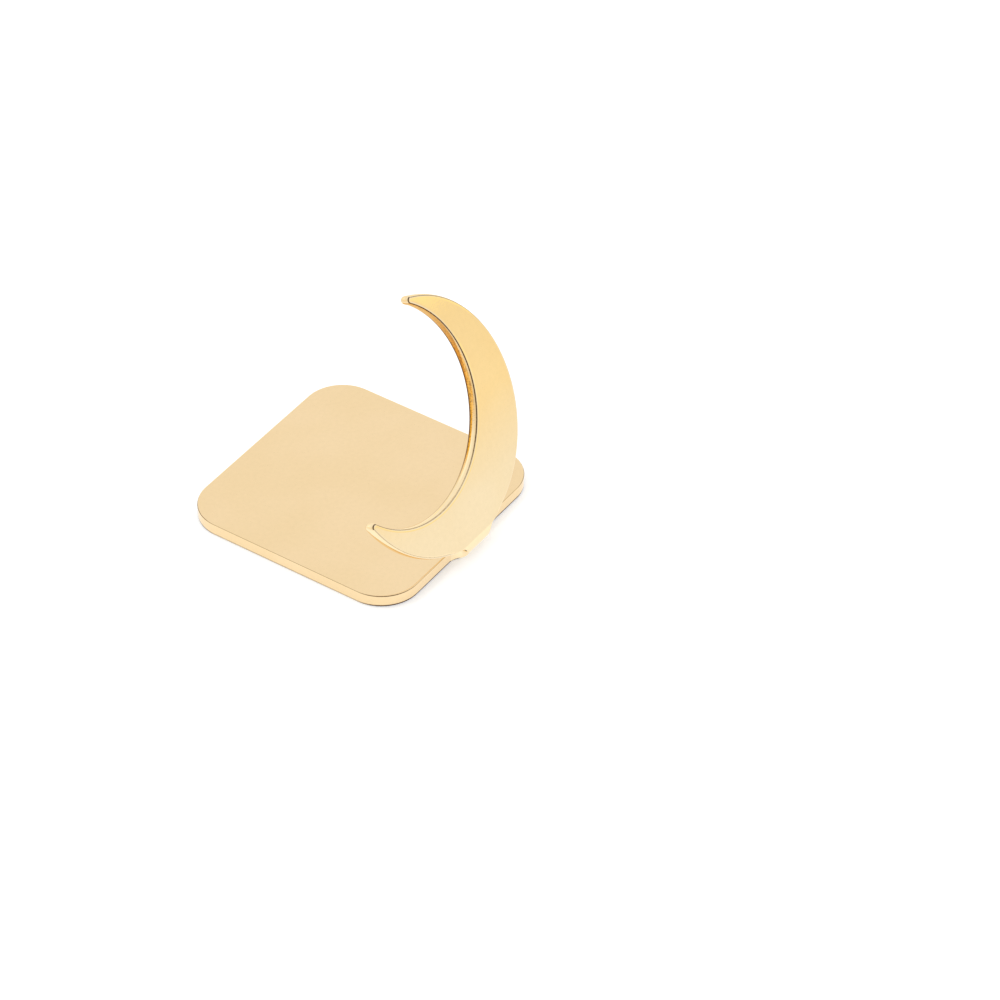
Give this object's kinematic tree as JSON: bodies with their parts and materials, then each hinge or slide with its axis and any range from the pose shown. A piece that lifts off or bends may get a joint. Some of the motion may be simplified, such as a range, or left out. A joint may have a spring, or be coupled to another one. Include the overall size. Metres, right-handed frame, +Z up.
{
  "type": "chopstick rest",
  "caption": "Chopstick rest: a polished gold square plate with rounded corners and a crescent moon leaning back from its edge, whose hollow holds the chopsticks.",
  "frame": {"origin": "centre of the base plate's underside, on the table", "axes": "+Z up from the table; +X towards the plate's edge that carries the crescent, so the chopsticks lie along X; the crescent's mouth faces -Y and up"},
  "size_m": [0.0394, 0.0374, 0.035],
  "materials": {
    "gold_plate": "mirror polished, gold plated",
    "gold_crescent": "mirror polished, gold plated",
    "gold_seam": "ground flush, mirror polished, gold plated"
  },
  "bodies": {
    "root": {"base_plate": "gold_plate", "crescent": "gold_crescent", "braze_seam": "gold_seam"}
  },
  "joints": []
}
